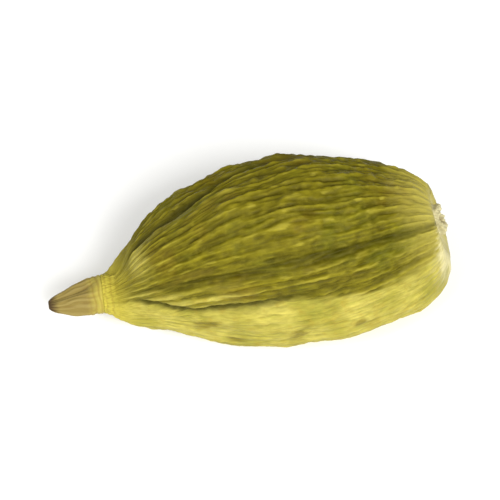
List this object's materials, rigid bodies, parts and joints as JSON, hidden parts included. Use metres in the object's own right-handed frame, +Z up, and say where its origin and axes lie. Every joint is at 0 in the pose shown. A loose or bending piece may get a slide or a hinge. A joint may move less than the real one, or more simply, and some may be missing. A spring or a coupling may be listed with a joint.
{
  "type": "green cardamom pod",
  "caption": "Dried green cardamom pod lying on its side: a ribbed husk with rounded lobes, a stub of stalk at the blunt end and a dried flower beak at the pointed end.",
  "frame": {"origin": "on the surface that the pod rests on, under the middle of its bounding box", "axes": "+X along the pod towards the stalk, with the beak at -X; +Z up from the resting surface; the paler, smoother lobe faces -Y"},
  "size_m": [0.0188, 0.0089, 0.0086],
  "materials": {
    "husk": "dried fibrous plant husk, dull with a faint sheen on the rib crests, olive green to pale straw",
    "stalk": "broken dry stalk, matte, pale straw",
    "flower": "papery dried flower, matte, tan with a dark tip"
  },
  "bodies": {
    "root": {"husk": "husk", "stalk_stub": "stalk", "flower_remnant": "flower"}
  },
  "joints": []
}
